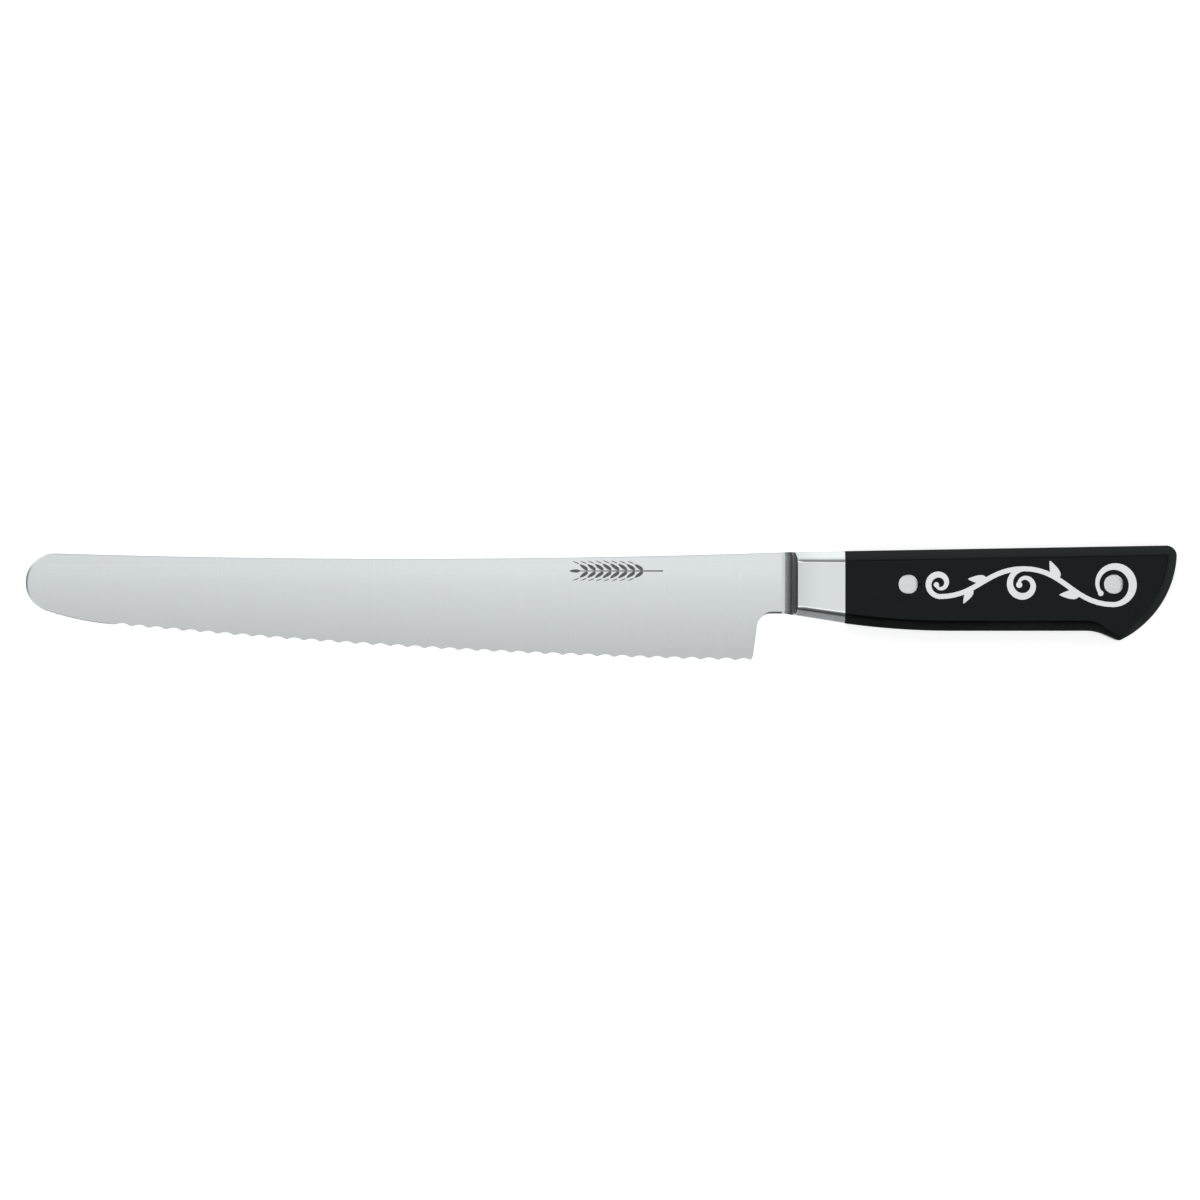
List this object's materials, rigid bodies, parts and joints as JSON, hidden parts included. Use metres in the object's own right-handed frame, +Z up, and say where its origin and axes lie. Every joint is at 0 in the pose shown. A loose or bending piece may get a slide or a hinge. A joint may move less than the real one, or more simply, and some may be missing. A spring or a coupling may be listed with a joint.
{
  "type": "bread knife",
  "caption": "Bread knife with a round-nosed, scalloped steel blade, a stepped heel, a steel bolster and a black riveted handle with a scroll inlay.",
  "frame": {"origin": "on the surface that the knife lies on, under the middle of its bounding box", "axes": "the knife lies on its right side: -X points to the tip, +X to the butt, +Y to the spine, -Y to the cutting edge, +Z up through the left side"},
  "size_m": [0.3725, 0.0372, 0.017],
  "materials": {
    "blade_steel": "fine cross-ground satin, a little brighter under the spine",
    "bolster_steel": "satin faces with polished bevels",
    "black_plastic": "smooth black acetal with a soft sheen",
    "rivet_steel": "ground flush and polished",
    "inlay_steel": "bright, flush with the scale"
  },
  "bodies": {
    "root": {"blade": "blade_steel", "left_bolster": "bolster_steel", "right_bolster": "bolster_steel", "left_scale": "black_plastic", "right_scale": "black_plastic", "front_rivet_socket": "rivet_steel", "front_rivet_post": "rivet_steel", "rear_rivet_socket": "rivet_steel", "rear_rivet_post": "rivet_steel", "left_scroll_inlay": "inlay_steel", "right_scroll_inlay": "inlay_steel"}
  },
  "joints": []
}
